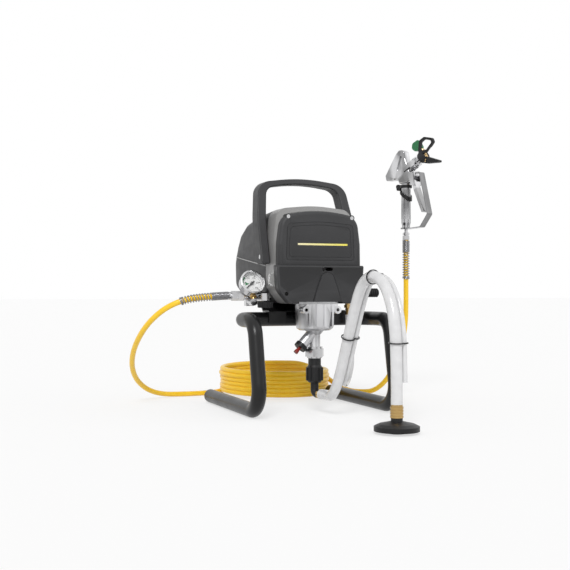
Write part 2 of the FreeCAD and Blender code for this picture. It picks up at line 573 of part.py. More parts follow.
def pump_casting():
    """Pump head: ribbed block with two ears, cone, neck and the slanted boss of the inlet-valve pusher."""
    low, top = CAST_BOTTOM, CAST_TOP
    head = cone(36, 39, V(0, PUMP_Y, low + 4), Z, top - 14 - low).fuse(rod(39, V(0, PUMP_Y, top - 10), Z, 10))
    head = head.common(block(-42, 38, PUMP_Y - 32, PUMP_Y + 32, low, top))
    head = head.fuse(cone(30, 36, V(0, PUMP_Y, low), Z, 4))
    for x in (-24, -8, 8, 24):
        head = head.fuse(block(x - 1.8, x + 1.8, PUMP_Y - 35, PUMP_Y - 20, low + 8, top))
    neck = cone(NECK_R, 19, V(0, PUMP_Y, low - 9), Z, 9).fuse(rod(NECK_R, V(0, PUMP_Y, NUT_TOP + SEAT), Z, 35))
    start, way = pusher_frame()
    boss = rod(10.5, start, way, PUSHER_BOSS)
    ears = []
    for s in (-1, 1):
        x = 2 + s * EAR_SPACING / 2
        ear = rod(7.5, V(x, PUMP_Y - 34, EAR_Z), Y, 20)
        ears.append(ear.fuse(block(min(x, x - s * 14), max(x, x - s * 14), PUMP_Y - 34, PUMP_Y - 14, EAR_Z - 4, top)))
    casting = head.fuse([neck, boss] + ears)
    casting = casting.cut(rod(CYL_R, V(0, PUMP_Y, 120), Z, CAST_TOP - 20 - 120))
    casting = casting.cut(rod(ROD_R + 2, V(0, PUMP_Y, 120), Z, 200))
    casting = casting.cut(rod(ROD_R + 5, V(0, PUMP_Y, CAST_TOP - 16 - SEAT), Z, 40))
    casting = casting.cut(rod(3 + RUN, start, way, 60)).cut(rod(20, V(0, PUMP_Y, 90), Z, NUT_TOP + SEAT - 90))
    for s in (-1, 1):
        casting = casting.cut(rod(EAR_HOLE_R, V(2 + s * EAR_SPACING / 2, PUMP_Y - 50, EAR_Z), Y, 60))
    return casting


def pusher_guide():
    start, way = pusher_frame()
    seat = start + way * (PUSHER_BOSS + SEAT)
    return ring(12.2, 10.5 + SEAT, seat - way * 5, way, 6).fuse(ring(12.2, 3 + RUN, seat, way, 3))


def inlet_pusher():
    """Spring-back pin with a red button that frees a stuck inlet valve."""
    start, way = pusher_frame()
    out = start + way * (PUSHER_BOSS + 3 + PUSHER_TRAVEL)
    pin = rod(3, start + way * 24, way, PUSHER_BOSS - 13)
    return pin.fuse(cone(3.4, 4.4, out + way * 1, way, 6)).fuse(rod(4.4, out + way * 7, way, 3))


def inlet_valve():
    """Hexagon valve body that closes the pump's foot, with the ball seat bored in it."""
    nut = hexagon(34, V(0, PUMP_Y, NUT_BOTTOM + 3), Z, NUT_TOP - NUT_BOTTOM - 7)
    nut = nut.fuse(rod(15.5, V(0, PUMP_Y, NUT_TOP - 4.5), Z, 4.5)).fuse(rod(15, V(0, PUMP_Y, NUT_BOTTOM), Z, 6))
    spigot = rod(CYL_R - SEAT, V(0, PUMP_Y, NUT_TOP - 1), Z, 5.5)
    valve = nut.fuse(spigot).cut(rod(4.5, V(0, PUMP_Y, 90), Z, 60))
    return valve.cut(rod(7, V(0, PUMP_Y, NUT_TOP - 8), Z, 30))


def inlet_ball():
    return Part.makeSphere(5.4, V(0, PUMP_Y, NUT_TOP - 8 + 3.0))


def suction_union():
    """Black union nut with finger ribs, necked down to the stem."""
    nut = rod(15, V(0, PUMP_Y, UNION_BOTTOM + 4), Z, 26).fuse(rod(12.5, V(0, PUMP_Y, 92), Z, NUT_BOTTOM - SEAT - 92))
    nut = nut.fuse(cone(15, 12.5, V(0, PUMP_Y, 89), Z, 4)).fuse(cone(12, 15, V(0, PUMP_Y, UNION_BOTTOM), Z, 4))
    for i in range(10):
        rib = block(13, 17, PUMP_Y - 1.8, PUMP_Y + 1.8, UNION_BOTTOM + 4, 88)
        nut = nut.fuse(turned(rib, V(0, PUMP_Y, 0), Z, 36 * i))
    return nut.cut(rod(5, V(0, PUMP_Y, 50), Z, 80)).cut(rod(8 + SEAT, V(0, PUMP_Y, 50), Z, 30))


def suction_elbow():
    """Stem that hangs in the union and turns towards the hose."""
    stem = [V(0, PUMP_Y, 78), V(0, PUMP_Y, 37), V(0, PUMP_Y, 37) + ELBOW_DIR * 12.5]
    path = path_wire(stem, [8.5])
    return sweep(path, 8).cut(sweep(path, 5))


def elbow_ring():
    centre = V(0, PUMP_Y, 37)
    return ring(8.6, 5, centre + ELBOW_DIR * (12.5 + SEAT), ELBOW_DIR, 6)


# ---- suction and return hoses -----------------------------------------------------------------------------
def bow(y, aside=0.0):
    """x of the plane that the suction set stands in, from the pump's elbow to the strainer."""
    return 5.6 + (STRAINER_X - 5.6) * (62.0 - y) / (62.0 - STRAINER_Y) + aside


OVER = [(-52, 151), (-78, 206), (-105, 251), (-142, 266), (-183, 254), (-211, 216), (-223, 172), (-226, 124)]


def suction_points():
    start = V(0, PUMP_Y, 37) + ELBOW_DIR * 18.6
    rising = [(16, 38), (-6, 58), (-22, 86), (-36, 116)]
    return [start, start + ELBOW_DIR * 24] + [V(bow(y), y, z) for y, z in rising + OVER] + [
        V(STRAINER_X, STRAINER_Y, 82), V(STRAINER_X, STRAINER_Y, 48)]


def suction_hose():
    return cord("suction_hose", suction_points(), SUCTION_R)


def return_points():
    rising = [(-18, 80), (-34, 113)]
    return [V(80, 100, 190), V(80, 100, 165), V(86, 94, 128), V(82, 82, 92), V(66, 62, 66), V(48, 34, 58),
            V(bow(6, CLIP_OFFSET + 4), 6, 60)] + [V(bow(y, CLIP_OFFSET), y, z) for y, z in rising + OVER] + [
            V(STRAINER_X + CLIP_OFFSET, STRAINER_Y, 84)]


def return_hose():
    return cord("return_hose", return_points(), RETURN_R)


def hose_clips():
    """Wire clips: two joined loops round the suction and the return hose."""
    clips = []
    for y, z, way in ((-52.5, 152, V(0, -0.42, 0.91)), (-146, 261.8, V(0, -1, -0.06)), (-224.5, 150, V(0, -0.05, 1))):
        way.normalize()
        first, second = V(bow(y), y, z), V(bow(y, CLIP_OFFSET + 0.3), y, z)
        big = ring(SUCTION_R + 3.2, SUCTION_R + 1.4, first - way * 1, way, 2)
        small = ring(RETURN_R + 2.6, RETURN_R + 1.0, second - way * 1, way, 2)
        clip = big.fuse(small).cut(rod(SUCTION_R + 1.4, first - way * 3, way, 6))
        clips.append(clip.cut(rod(RETURN_R + 1.0, second - way * 3, way, 6)))
    return clips


def strainer_ferrule():
    foot = V(STRAINER_X, STRAINER_Y, 0)
    body = rod(10, foot + V(0, 0, 26), Z, 22 - SEAT)
    ribs = [rod(11.2, foot + V(0, 0, z), Z, 3.4) for z in (26, 31, 36, 41)]
    return body.fuse(ribs).cut(rod(6, foot, Z, 60))


def strainer_foot():
    """Black strainer: neck, shallow disc with a turned-down rim and slots under it, foot boss."""
    c = V(STRAINER_X, STRAINER_Y, 0)
    disc = cone(38.5, 30, c + V(0, 0, 12), Z, 4).fuse(rod(38.5, c + V(0, 0, 4), Z, 8))
    disc = disc.fuse(cone(30, 12, c + V(0, 0, 16), Z, 4)).fuse(rod(10, c + V(0, 0, 18), Z, 8 - SEAT))
    disc = disc.cut(rod(35.5, c + V(0, 0, 3), Z, 6))
    foot = disc.fuse(rod(15, c, Z, 12))
    for i in range(6):
        rib = block(c.x + 13, c.x + 36, c.y - 1.2, c.y + 1.2, 4.5, 11)
        foot = foot.fuse(turned(rib, c, Z, 60 * i + 30))
    return foot.cut(rod(6, c + V(0, 0, 8), Z, 30))


# ---- outlet, gauge, pressure setting, relief valve ----------------------------------------------------------
def gauge_axis():
    a = math.radians(GAUGE_TILT)
    return V(0, -math.cos(a), math.sin(a))


def gauge_case():
    """Round metal can with a rolled bezel; the back is closed."""
    way = gauge_axis()
    back = GAUGE_C - way * 12
    can = rod(GAUGE_R - 1.5, back, way, 18).fuse(ring(GAUGE_R, GAUGE_R - 4, back + way * 14, way, 6))
    can = can.makeFillet(1.4, [e for e in can.Edges if (e.CenterOfMass - back).dot(way) > 19.9
                               and e.Length > 2 * math.pi * (GAUGE_R - 1)])
    return can.cut(rod(GAUGE_R - 3.5, back + way * 8, way, 20)).cut(rod(5, back - way, way, 3))


def gauge_dial():
    way = gauge_axis()
    return ring(GAUGE_R - 3.5 - SEAT, 1.2, GAUGE_C - way * 3.95, way, 1)


def gauge_glass():
    way = gauge_axis()
    return rod(GAUGE_R - 3.5 - SEAT, GAUGE_C + way * 4, way, 1.8)


def gauge_needle():
    """Needle with its hub and short tail, at rest pointing down to the left."""
    way = gauge_axis()
    hub = rod(3, GAUGE_C - way * 2, way, 3).fuse(rod(1.1, GAUGE_C - way * 3.5, way, 3))
    blade = plate([(-1.5, -7), (1.5, -7), (0.5, 17), (-0.5, 17)], [0] * 4, lambda u, v: V(u, 0, v), V(0, 0.8, 0))
    blade = turned(blade, V(0, 0, 0), Y, -130)
    blade = turned(blade, V(0, 0, 0), X, -GAUGE_TILT)
    blade.translate(GAUGE_C - way * 0.2)
    return hub.fuse(blade)


def gauge_down():
    """Direction from the gauge's centre to the lower edge of its tilted face."""
    a = math.radians(GAUGE_TILT)
    return V(0, -math.sin(a), -math.cos(a))


def gauge_stem():
    """Brass stem from the gauge's lower edge to the arm of the manifold."""
    foot = GAUGE_C - gauge_axis() * 5 + gauge_down() * (GAUGE_R - 3)
    stem = rod(4.5, foot, gauge_down(), 12).fuse(hexagon(12, foot + gauge_down() * 2.5, gauge_down(), 4))
    stem = stem.cut(rod(GAUGE_R - 1.5 + SEAT, GAUGE_C - gauge_axis() * 13, gauge_axis(), 30))
    return stem.cut(rod(7 + SEAT, V(GAUGE_C.x, MANIFOLD_Y + 10, MANIFOLD_Z - 12), -Y, 60))


def outlet_manifold():
    """Outlet block beside the casing: carries the gauge, the hose nipple and the pressure control."""
    y, z = MANIFOLD_Y, MANIFOLD_Z
    made = rod(8, V(-130, y, z), X, 66).fuse(hexagon(17, V(-136, y, z), X, 12))
    made = made.fuse(block(GAUGE_C.x - 7.5, GAUGE_C.x + 7.5, y - 6, y + 7, z - 20, z))
    made = made.fuse(rod(7, V(GAUGE_C.x, y, z - 12), -Y, y - 116))
    made = made.fuse(rod(6, V(KNOB_C.x, y, z - 4), -Y, y - KNOB_C.y))
    made = made.fuse(rod(8.5, V(KNOB_C.x, KNOB_C.y, z - 9), Z, 14))
    made = made.cut(rod(4, V(-140, y, z), X, 60))
    return made.cut(rod(4 + RUN, V(KNOB_C.x, KNOB_C.y, z - 10), Z, 13))


def pressure_knob():
    """Knurled knob that points down, with its spindle."""
    knob = rod(KNOB_R - 1, V(KNOB_C.x, KNOB_C.y, KNOB_C.z), Z, KNOB_H)
    for i in range(18):
        knob = knob.fuse(turned(rod(1.7, V(KNOB_C.x + KNOB_R - 1.5, KNOB_C.y, KNOB_C.z + 1), Z, KNOB_H - 2),
                                KNOB_C, Z, 20 * i))
    return knob.fuse(rod(4, V(KNOB_C.x, KNOB_C.y, KNOB_C.z), Z, MANIFOLD_Z + 2 - KNOB_C.z))


def hose_fittings():
    """Steel nuts at the two ends of the pressure hose: outlet nipple and gun swivel."""
    y = MANIFOLD_Y
    nut = hexagon(17, V(-136 - SEAT, y, MANIFOLD_Z), V(-1, 0, 0), 14)
    neck = rod(5.5, V(-150, y, MANIFOLD_Z), V(-1, 0, 0), 15)
    return [nut.fuse([neck, rod(8, V(-152, y, MANIFOLD_Z), V(-1, 0, 0), 3)]), gun_swivel()]


def relief_valve():
    """Ribbed black valve head on the right side; the lever turns on its stem."""
    c = RELIEF_C
    stem = rod(6, c - X * 22, X, 40)
    head = rod(7, c + X * 33, X, 22)
    ribs = [rod(RELIEF_R, c + X * (34 + 4.2 * i), X, 2.4) for i in range(5)]
    return stem.fuse([rod(5, c, X, 34), head] + ribs)


def relief_lever():
    c = RELIEF_C
    hub = ring(9, 5 + RUN, c + X * 18.4, X, 13)
    arm = plate([(-4, 0), (4, 0), (3, -26), (-3, -26)], [0, 0, 2.5, 2.5],
                lambda u, v: V(c.x + 24, c.y + u, c.z + v), V(4, 0, 0))
    return hub.fuse(arm).cut(rod(5 + RUN, c, X, 40))


def return_barb():
    """Brass hose barb under the relief valve with its fixing hexagon."""
    c = V(80, 100, 190)
    barb = hexagon(13, c + V(0, 0, 14), Z, 6).fuse(rod(4.2, c + V(0, 0, SEAT), Z, 15))
    return barb.fuse([cone(5.2, 4.2, c + V(0, 0, z), Z, 3) for z in (2, 6, 10)] + [rod(5, c + V(0, 0, 20), Z, 8)])


def power_switch():
    """Rocker of the mains switch on the back, with its pivot hole."""
    y = REAR_BACK - 4
    rocker = plate([(y - 7, -8.5), (y + 3.5, -8.5), (y + 2, 0), (y + 3.5, 8.5), (y - 7, 8.5)], [0, 1, 0, 1, 0],
                   lambda v, w: V(-46, v, 253 + w), V(12, 0, 0))
    return rocker.cut(rod(1.5, V(-50, y - 4, 253), X, 20))


def cable_gland():
    """Mains cable inlet on the back, its bore open for the lead."""
    c = V(40, REAR_BACK, 250)
    gland = rod(7, c - Y * 22, Y, 24).fuse(hexagon(18, c + Y * 0.5, Y, 6))
    gland = gland.fuse(cone(8, 5.5, c + Y * 6.5, Y, 14))
    return gland.cut(rod(3.5, c - Y * 30, Y, 60))


# ---- pressure hose ----------------------------------------------------------------------------------------
def guard_way():
    return V(-0.98, 0, -0.2).normalize()


def lead_points():
    """From the spring guard at the outlet round the left side to the foot of the coil behind the machine."""
    start = V(-165.1, MANIFOLD_Y, MANIFOLD_Z)
    return [start, start + V(-40, 0, -2), V(-248, 147, 220), V(-280, 162, 204), V(-303, 190, 178),
            V(-314, 226, 150), V(-317, 270, 120), V(-312, 314, 90), V(-300, 352, 64), V(-281, 388, 41),
            V(-252, 418, 20), V(-214, 442, 8), V(-172, 450, 6), V(-128, 450, 6), V(-90, 462, 6), V(-66, 486, 6)]


def riser_points():
    """From the coil along the floor behind the right foot and up to the gun."""
    return [V(150, 484, 62), V(176, 462, 44), V(196, 424, 18), V(212, 384, 6.5), V(228, 350, 6),
            V(249, 326, 9), V(268, 303, 32), V(281, 285, 68), V(290, 268, 112), V(295, 257, 164),
            V(GUN_C.x, GUN_C.y, 220), V(GUN_C.x, GUN_C.y + 0.5, 290), V(GUN_C.x, GUN_C.y, SWIVEL_Z)]


def hose_lead():
    return cord("hose_lead", lead_points(), HOSE_R)


def hose_riser():
    return cord("hose_riser", riser_points(), HOSE_R)


def hose_coil():
    height = COIL_PITCH * COIL_TURNS
    return ring(COIL_R + HOSE_R, COIL_R - HOSE_R - 2, COIL_C, Z, height)


def spring_guard(start, way, length, inner):
    """Wire spring round the hose, as closed rings joined by three long ribs."""
    coils = int(length / 5)
    parts = [ring(inner + 2.2, inner, start + way * (5 * i), way, 2.2) for i in range(coils)]
    side = way.cross(V(0.3, 0.9, 0.2)).normalize() * (inner + 1.1)
    ribs = [turned(rod(1.0, start + side, way, length - 3), start, way, 120 * i) for i in range(3)]
    return parts[0].fuse(parts[1:] + ribs)


def hose_guards():
    """Spring guards at the two ends of the pressure hose: at the outlet and under the gun."""
    outlet = spring_guard(V(-166, MANIFOLD_Y, MANIFOLD_Z), V(-1, 0, -0.05).normalize(), 36, HOSE_R + 0.7)
    return [outlet, spring_guard(V(GUN_C.x, GUN_C.y, SWIVEL_Z - 56), Z, 55, HOSE_R + 0.7)]


# ---- spray gun: drawn in its own plane (u forward, v up), then turned to face the front ----------------------
def gun_place(shape):
    copy = shape.copy()
    copy.rotate(V(0, 0, 0), Z, GUN_YAW)
    copy.translate(GUN_C)
    return copy


def strip(points, radii, width):
    """Plate of the gun's side outline, centred on the gun's plane."""
    return plate(points, radii, lambda u, v: V(u, -width / 2, v), V(0, width, 0))


def barrel_way():
    a = math.radians(BARREL_TILT)
    return V(math.cos(a), 0, math.sin(a))


def tip_way():
    a = math.radians(BARREL_TILT + 90)
    return V(math.cos(a), 0, math.sin(a))


def gun_swivel():
    """Hose nut under the handle, which lets the gun turn on the hose."""
    low = SWIVEL_Z + SEAT
    body = hexagon(14, V(0, 0, low), Z, 9).fuse(rod(5.5, V(0, 0, low + 8), Z, 9)).fuse(rod(7.5, V(0, 0, low + 11), Z, 4))
    return gun_place(body.fuse(rod(4, V(0, 0, low + 12), Z, 24)))


def gun_handle():
    low = GRIP_BOTTOM
    grip = rod(GRIP_R, V(0, 0, low + 14), Z, GRIP_TOP - low - 14)
    collar = rod(9, V(0, 0, low), Z, 8).fuse(cone(9, GRIP_R, V(0, 0, low + 8), Z, 6.5))
    flutes = [turned(rod(2, V(GRIP_R + 0.9, 0, low + 22), Z, 66), V(0, 0, 0), Z, 30 * i) for i in range(12)]
    grip = grip.fuse(collar)
    for flute in flutes:
        grip = grip.cut(flute)
    return gun_place(grip.cut(rod(4 + RUN, V(0, 0, low - 1), Z, 20)).cut(rod(4, V(0, 0, low), Z, 80)))


def gun_body():
    """Cast head: rear spur with a hook, saddle over the handle and the slanted barrel."""
    side = [(-12, GRIP_TOP + SEAT), (12, GRIP_TOP + SEAT), (24, 486), (33, 494), (33, 504), (18, 502), (4, 534),
            (2, 548), (-6, 553), (-14, 553), (-22, 546), (-54, 499), (-51, 487), (-26, 487), (-21, 493)]
    body = strip(side, [1, 3, 5, 3, 2, 4, 12, 4, 4, 3, 8, 6, 4, 3, 4], 20)
    body = body.makeFillet(3, [e for e in body.Edges if e.BoundBox.YLength < 0.01 and e.Length > 7])
    body = body.cut(strip([(-20, 508), (-2, 508), (-3, 536), (-8, 542)], [3] * 4, 6).translated(V(0, 10, 0)))
    body = body.cut(strip([(-20, 508), (-2, 508), (-3, 536), (-8, 542)], [3] * 4, 6).translated(V(0, -10, 0)))
    body = body.fuse(rod(11.5, barrel_point(60), barrel_way(), 60 - 40 - SEAT))
    body = body.cut(rod(2.5, V(TRIGGER_PIVOT[0], -20, TRIGGER_PIVOT[1]), Y, 40))
    body = body.cut(rod(13.5, barrel_point(40 + SEAT), barrel_way(), 60))
    body = body.cut(block(TAB_U - SEAT, 45, -8 - SEAT, 8 + SEAT, TAB_Z - SEAT, TAB_Z + STRAP + SEAT))
    return gun_place(body)


def barrel_point(distance):
    """Point on the barrel axis, counted back from the spray tip."""
    return V(TIP_U, 0, TIP_Z) - barrel_way() * distance


def gun_nut():
    """Chromed diffuser nut between the barrel and the tip guard."""
    nut = hexagon(23, barrel_point(40), barrel_way(), 14).fuse(rod(11.5, barrel_point(27), barrel_way(), 6))
    nut = nut.fuse(rod(9, barrel_point(22), barrel_way(), 9.5))
    return gun_place(nut.cut(rod(2, barrel_point(60), barrel_way(), 60)))


def tip_guard():
    """Black guard: threaded cup round the tip, open loop wing above and pointed wing below."""
    way, back = barrel_way(), barrel_point(12 - SEAT)
    cup = cone(12, 15, back + way * 0.2, way, 8).fuse(cone(15, 11, back + way * 8, way, 8))
    loop_out = [(-11, 6), (-9, 33), (5, 40), (28, 35), (32, 26), (12, 4)]
    loop_in = [(-5, 12), (-4, 29), (6, 34.5), (24, 30), (25.5, 25), (11, 11)]
    at = lambda pts: [(TIP_U + u, TIP_Z + v) for u, v in pts]
    wing = strip(at(loop_out), [4, 8, 8, 6, 4, 6], 6).cut(strip(at(loop_in), [3, 5, 5, 4, 3, 3], 30))
    wing.translate(V(0, -6.4, 0))       # beside the flag handle, which swings past it
    low = strip(at([(4, -2), (12, -4), (42, -14), (44, -18), (38, -19), (6, -18), (-4, -12)]),
                [2, 6, 2, 2, 3, 8, 3], 11)
    guard = cup.fuse([wing, low])
    guard = guard.cut(rod(6, back - way, way, 40)).cut(rod(6 + RUN + 0.02, V(TIP_U, 0, TIP_Z) - tip_way() * 16,
                                                          tip_way(), 60))
    return gun_place(guard)


def spray_tip():
    """Reversing tip: brass cylinder across the guard with its flag handle."""
    way, c = tip_way(), V(TIP_U, 0, TIP_Z)
    barrel = rod(6, c - way * 13, way, 26).cut(rod(1.2, c - barrel_way() * 10, barrel_way(), 20))
    stem = rod(4, c + way * 12, way, 9)
    a = math.radians(BARREL_TILT)
    along = lambda s, t: V(TIP_U - s * math.cos(a) - t * math.sin(a), -3, TIP_Z - s * math.sin(a) + t * math.cos(a))
    flag = plate([(-4.8, 19), (2, 17), (17, 22), (22, 33), (15, 42), (-1, 41), (-4.8, 34)], [2, 3, 7, 6, 6, 4, 3],
                 along, V(0, 6, 0))
    return gun_place(barrel.fuse([stem, flag]))


def trigger():
    """Four-finger trigger on its cross pin."""
    u, v = TRIGGER_PIVOT
    side = [(u - 4, v + 5), (u + 5, v + 5), (u + 7, v - 6), (u + 13, v - 30), (u + 34, v - 83), (u + 28, v - 86),
            (u + 6, v - 36), (u - 1, v - 12), (u - 5, v - 5)]
    blade = strip(side, [2, 3, 10, 40, 2, 2, 50, 12, 3], 15)
    cheeks = strip([(u - 6, v + 5), (u + 6, v + 5), (u + 9, v - 8), (u + 11, v - 25), (u + 3, v - 25),
                    (u - 6, v - 6)], [4, 4, 6, 2, 2, 4], 25)
    shape = blade.fuse(cheeks)
    shape = shape.cut(block(u - 12, u + 20, -10 - GAP, 10 + GAP, v - 16, v + 20))
    pin = rod(2.5 - RUN, V(u, -12.5, v), Y, 25)
    return gun_place(shape.fuse(pin))


def trigger_guard():
    """Bent steel strap: tab in the gun body, down in front of the trigger and back to the handle."""
    t, top = STRAP, TAB_Z
    side = [(TAB_U, top), (44, top), (68 - t, 406.6), (46, 378 + t), (10, 376 + t), (10, 376), (47, 378),
            (69, 406), (46, top + t), (TAB_U, top + t)]
    strap = strip(side, [0, 2, 4, 4, 0, 0, 6, 6, 4, 0], 16)
    clamp = ring(12, 9 + SEAT, V(0, 0, 376), Z, 3)
    return gun_place(strap.fuse(clamp).cut(rod(9 + SEAT, V(0, 0, 370), Z, 14)))


def trigger_lock():
    """Black clip round the top of the handle with a thumb lobe; turned aside it frees the trigger."""
    r0, r1 = GRIP_R + GAP, GRIP_R + 3
    band = ring(r1, r0, V(0, 0, 424), Z, 52)
    slope = lambda lift: plate([(-30, 452 + lift + 24), (30, 452 + lift - 24), (30, 600), (-30, 600)], [0] * 4,
                               lambda u, v: V(u, -30, v), V(0, 60, 0))
    sloped = band.common(slope(-4)).cut(slope(5))
    top = ring(r1, r0, V(0, 0, 468), Z, 6)
    lobe = strip([(-11.5, 463), (-22, 463), (-25, 475), (-18, GRIP_TOP - 1), (-11.5, 474)], [0, 3, 3, 3, 0], 12)
    lock = sloped.fuse([top, lobe])
    return gun_place(lock.cut(rod(r0, V(0, 0, 400), Z, 100)))


# ---- write every piece ------------------------------------------------------------------------------------
NODES = [frame_tube, foot_end_caps, motor_bracket, bracket_screws, rear_shell, lower_shell, shell_gasket, mid_shell,
         front_cover, lower_cover, case_screws, carry_handle, motor_rotor, cooling_fan,
         motor_stator, motor_end_frame, bearings, gear_housing, drive_gear, piston_yoke, piston_rod, rod_packing,
         pump_casting, pusher_guide, inlet_pusher, inlet_valve, inlet_ball, suction_union, suction_elbow, elbow_ring,
         suction_hose, return_hose, hose_clips, strainer_ferrule, strainer_foot, gauge_case, gauge_dial,
         gauge_glass, gauge_needle, gauge_stem, outlet_manifold, pressure_knob, hose_fittings, relief_valve,
         relief_lever, return_barb, power_switch, cable_gland, hose_lead, hose_riser, hose_coil, hose_guards,
         gun_handle, gun_body, gun_nut, tip_guard, spray_tip, trigger,
         trigger_guard, trigger_lock]


def main():
    os.makedirs("parts", exist_ok=True)
    for build in NODES:
        made = build()
        solids = []
        for shape in made if isinstance(made, list) else [made]:
            solids += shape.removeSplitter().Solids
        piece = Part.makeCompound(solids) if len(solids) > 1 else solids[0]
        piece.translate(-ORIGIN)
        piece.exportStep("parts/%s.step" % build.__name__)
        box = piece.BoundBox
        print("%-18s %2d %9.0f mm3 %s valid=%s" % (build.__name__, len(solids), piece.Volume, "x %.0f..%.0f y %.0f..%.0f"
              " z %.0f..%.0f" % (box.XMin, box.XMax, box.YMin, box.YMax, box.ZMin, box.ZMax), piece.isValid()))


main()
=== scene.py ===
"""Looks of the airless paint sprayer: camera, hoses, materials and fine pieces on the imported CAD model.

Everything is in metres in the row frame. Points that repeat the CAD routes are written in the part's own
millimetres, measured from the middle between the feet, and moved by at().
"""
import bpy
import bmesh
import json
import math
from mathutils import Matrix, Vector


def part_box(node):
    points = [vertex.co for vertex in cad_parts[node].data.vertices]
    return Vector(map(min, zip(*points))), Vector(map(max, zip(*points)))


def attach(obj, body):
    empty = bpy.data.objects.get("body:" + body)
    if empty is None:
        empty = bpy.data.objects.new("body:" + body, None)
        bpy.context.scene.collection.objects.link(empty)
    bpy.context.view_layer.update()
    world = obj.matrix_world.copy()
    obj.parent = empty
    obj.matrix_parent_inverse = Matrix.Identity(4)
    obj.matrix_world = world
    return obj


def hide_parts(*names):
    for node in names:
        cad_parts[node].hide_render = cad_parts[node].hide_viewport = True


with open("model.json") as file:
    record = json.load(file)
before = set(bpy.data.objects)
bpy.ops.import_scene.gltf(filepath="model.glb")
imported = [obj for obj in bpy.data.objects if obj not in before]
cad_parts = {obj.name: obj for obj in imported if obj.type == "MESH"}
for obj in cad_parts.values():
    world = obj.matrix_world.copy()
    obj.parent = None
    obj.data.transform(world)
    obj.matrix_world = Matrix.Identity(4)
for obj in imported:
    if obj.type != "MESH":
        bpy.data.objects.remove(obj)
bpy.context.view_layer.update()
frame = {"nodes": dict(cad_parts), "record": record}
NODES = frame["nodes"]
ORIGIN = Vector((90, 45, 0))
X = Vector((1, 0, 0))


def linked(name, data):
    """New object for the data, placed in the scene."""
    obj = bpy.data.objects.new(name, data)
    bpy.context.scene.collection.objects.link(obj)
    return obj


def at(x, y, z):
    return (Vector((x, y, z)) - ORIGIN) / 1000


# ---- camera ------------------------------------------------------------------------------------------------
LENS, SENSOR = 61.1, 36
CAMERA_PLACE = at(-732, -1668, 236)
CAMERA_WAY = Vector((0.358, 0.934, 0.007))


def make_camera():
    data = bpy.data.cameras.new("camera")
    data.lens, data.sensor_width = LENS, SENSOR
    data.clip_start, data.clip_end = 0.05, 60
    camera = linked("camera", data)
    camera.location = CAMERA_PLACE
    camera.rotation_euler = CAMERA_WAY.to_track_quat("-Z", "Y").to_euler()
    bpy.context.scene.camera = camera


make_camera()


# ---- materials ---------------------------------------------------------------------------------------------
class Look:
    """A node material under construction: one principled shader fed by procedural detail."""

    def __init__(self, name, metallic=0.0, coat=0.0, specular=0.5, ior=1.5):
        self.made = bpy.data.materials.new(name)
        self.made.use_nodes = True
        self.tree = self.made.node_tree
        self.shader = self.tree.nodes["Principled BSDF"]
        self.shader.inputs["Metallic"].default_value = metallic
        self.shader.inputs["Coat Weight"].default_value = coat
        self.shader.inputs["Specular IOR Level"].default_value = specular
        self.shader.inputs["IOR"].default_value = ior
        self.place = self.add("ShaderNodeTexCoord").outputs["Object"]

    def add(self, kind, **settings):
        node = self.tree.nodes.new(kind)
        for key, value in settings.items():
            setattr(node, key, value)
        return node

    def join(self, start, end):
        self.tree.links.new(start, end)

    def stretch(self, scale):
        """Object coordinates scaled by a vector, for brushed or drawn surfaces."""
        node = self.add("ShaderNodeMapping")
        node.inputs["Scale"].default_value = scale
        self.join(self.place, node.inputs["Vector"])
        return node.outputs["Vector"]

    def noise(self, scale, detail=3.0, rough=0.55, where=None):
        node = self.add("ShaderNodeTexNoise")
        node.inputs["Scale"].default_value = scale
        node.inputs["Detail"].default_value = detail
        node.inputs["Roughness"].default_value = rough
        self.join(where or self.place, node.inputs["Vector"])
        return node.outputs["Fac"]

    def cells(self, scale):
        node = self.add("ShaderNodeTexVoronoi")
        node.inputs["Scale"].default_value = scale
        self.join(self.place, node.inputs["Vector"])
        return node.outputs["Distance"]

    def band(self, fac, low, high, out_low=0.0, out_high=1.0):
        node = self.add("ShaderNodeMapRange")
        for i, value in enumerate((low, high, out_low, out_high)):
            node.inputs[i + 1].default_value = value
        self.join(fac, node.inputs["Value"])
        return node.outputs["Result"]

    def blend(self, fac, first, second):
        """Colour between two colours, or between a colour and an earlier result."""
        node = self.add("ShaderNodeMix", data_type="RGBA")
        self.join(fac, node.inputs[0])
        for socket, value in ((node.inputs[6], first), (node.inputs[7], second)):
            if isinstance(value, tuple):
                socket.default_value = (*value, 1)
            else:
                self.join(value, socket)
        return node.outputs[2]

    def colour(self, value):
        self.join(value, self.shader.inputs["Base Color"])

    def roughness(self, fac, low, high):
        self.join(self.band(fac, 0.25, 0.75, low, high), self.shader.inputs["Roughness"])

    def bump(self, *layers):
        """Stacked bumps, each a height, its strength and its depth in metres."""
        normal = None
        for height, strength, depth in layers:
            node = self.add("ShaderNodeBump")
            node.inputs["Strength"].default_value = strength
            node.inputs["Distance"].default_value = depth
            self.join(height, node.inputs["Height"])
            if normal:
                self.join(normal, node.inputs["Normal"])
            normal = node.outputs["Normal"]
        self.join(normal, self.shader.inputs["Normal"])

    def edge(self, low=0.52, high=0.62):
        """Convex edges: the mask for painted shade on rounded plastic and chrome edges, and for the brighter
        cast edges.
        """
        node = self.add("ShaderNodeNewGeometry")
        return self.band(node.outputs["Pointiness"], low, high)


def tint(colour, share):
    return tuple(min(1.0, c * share) for c in colour)


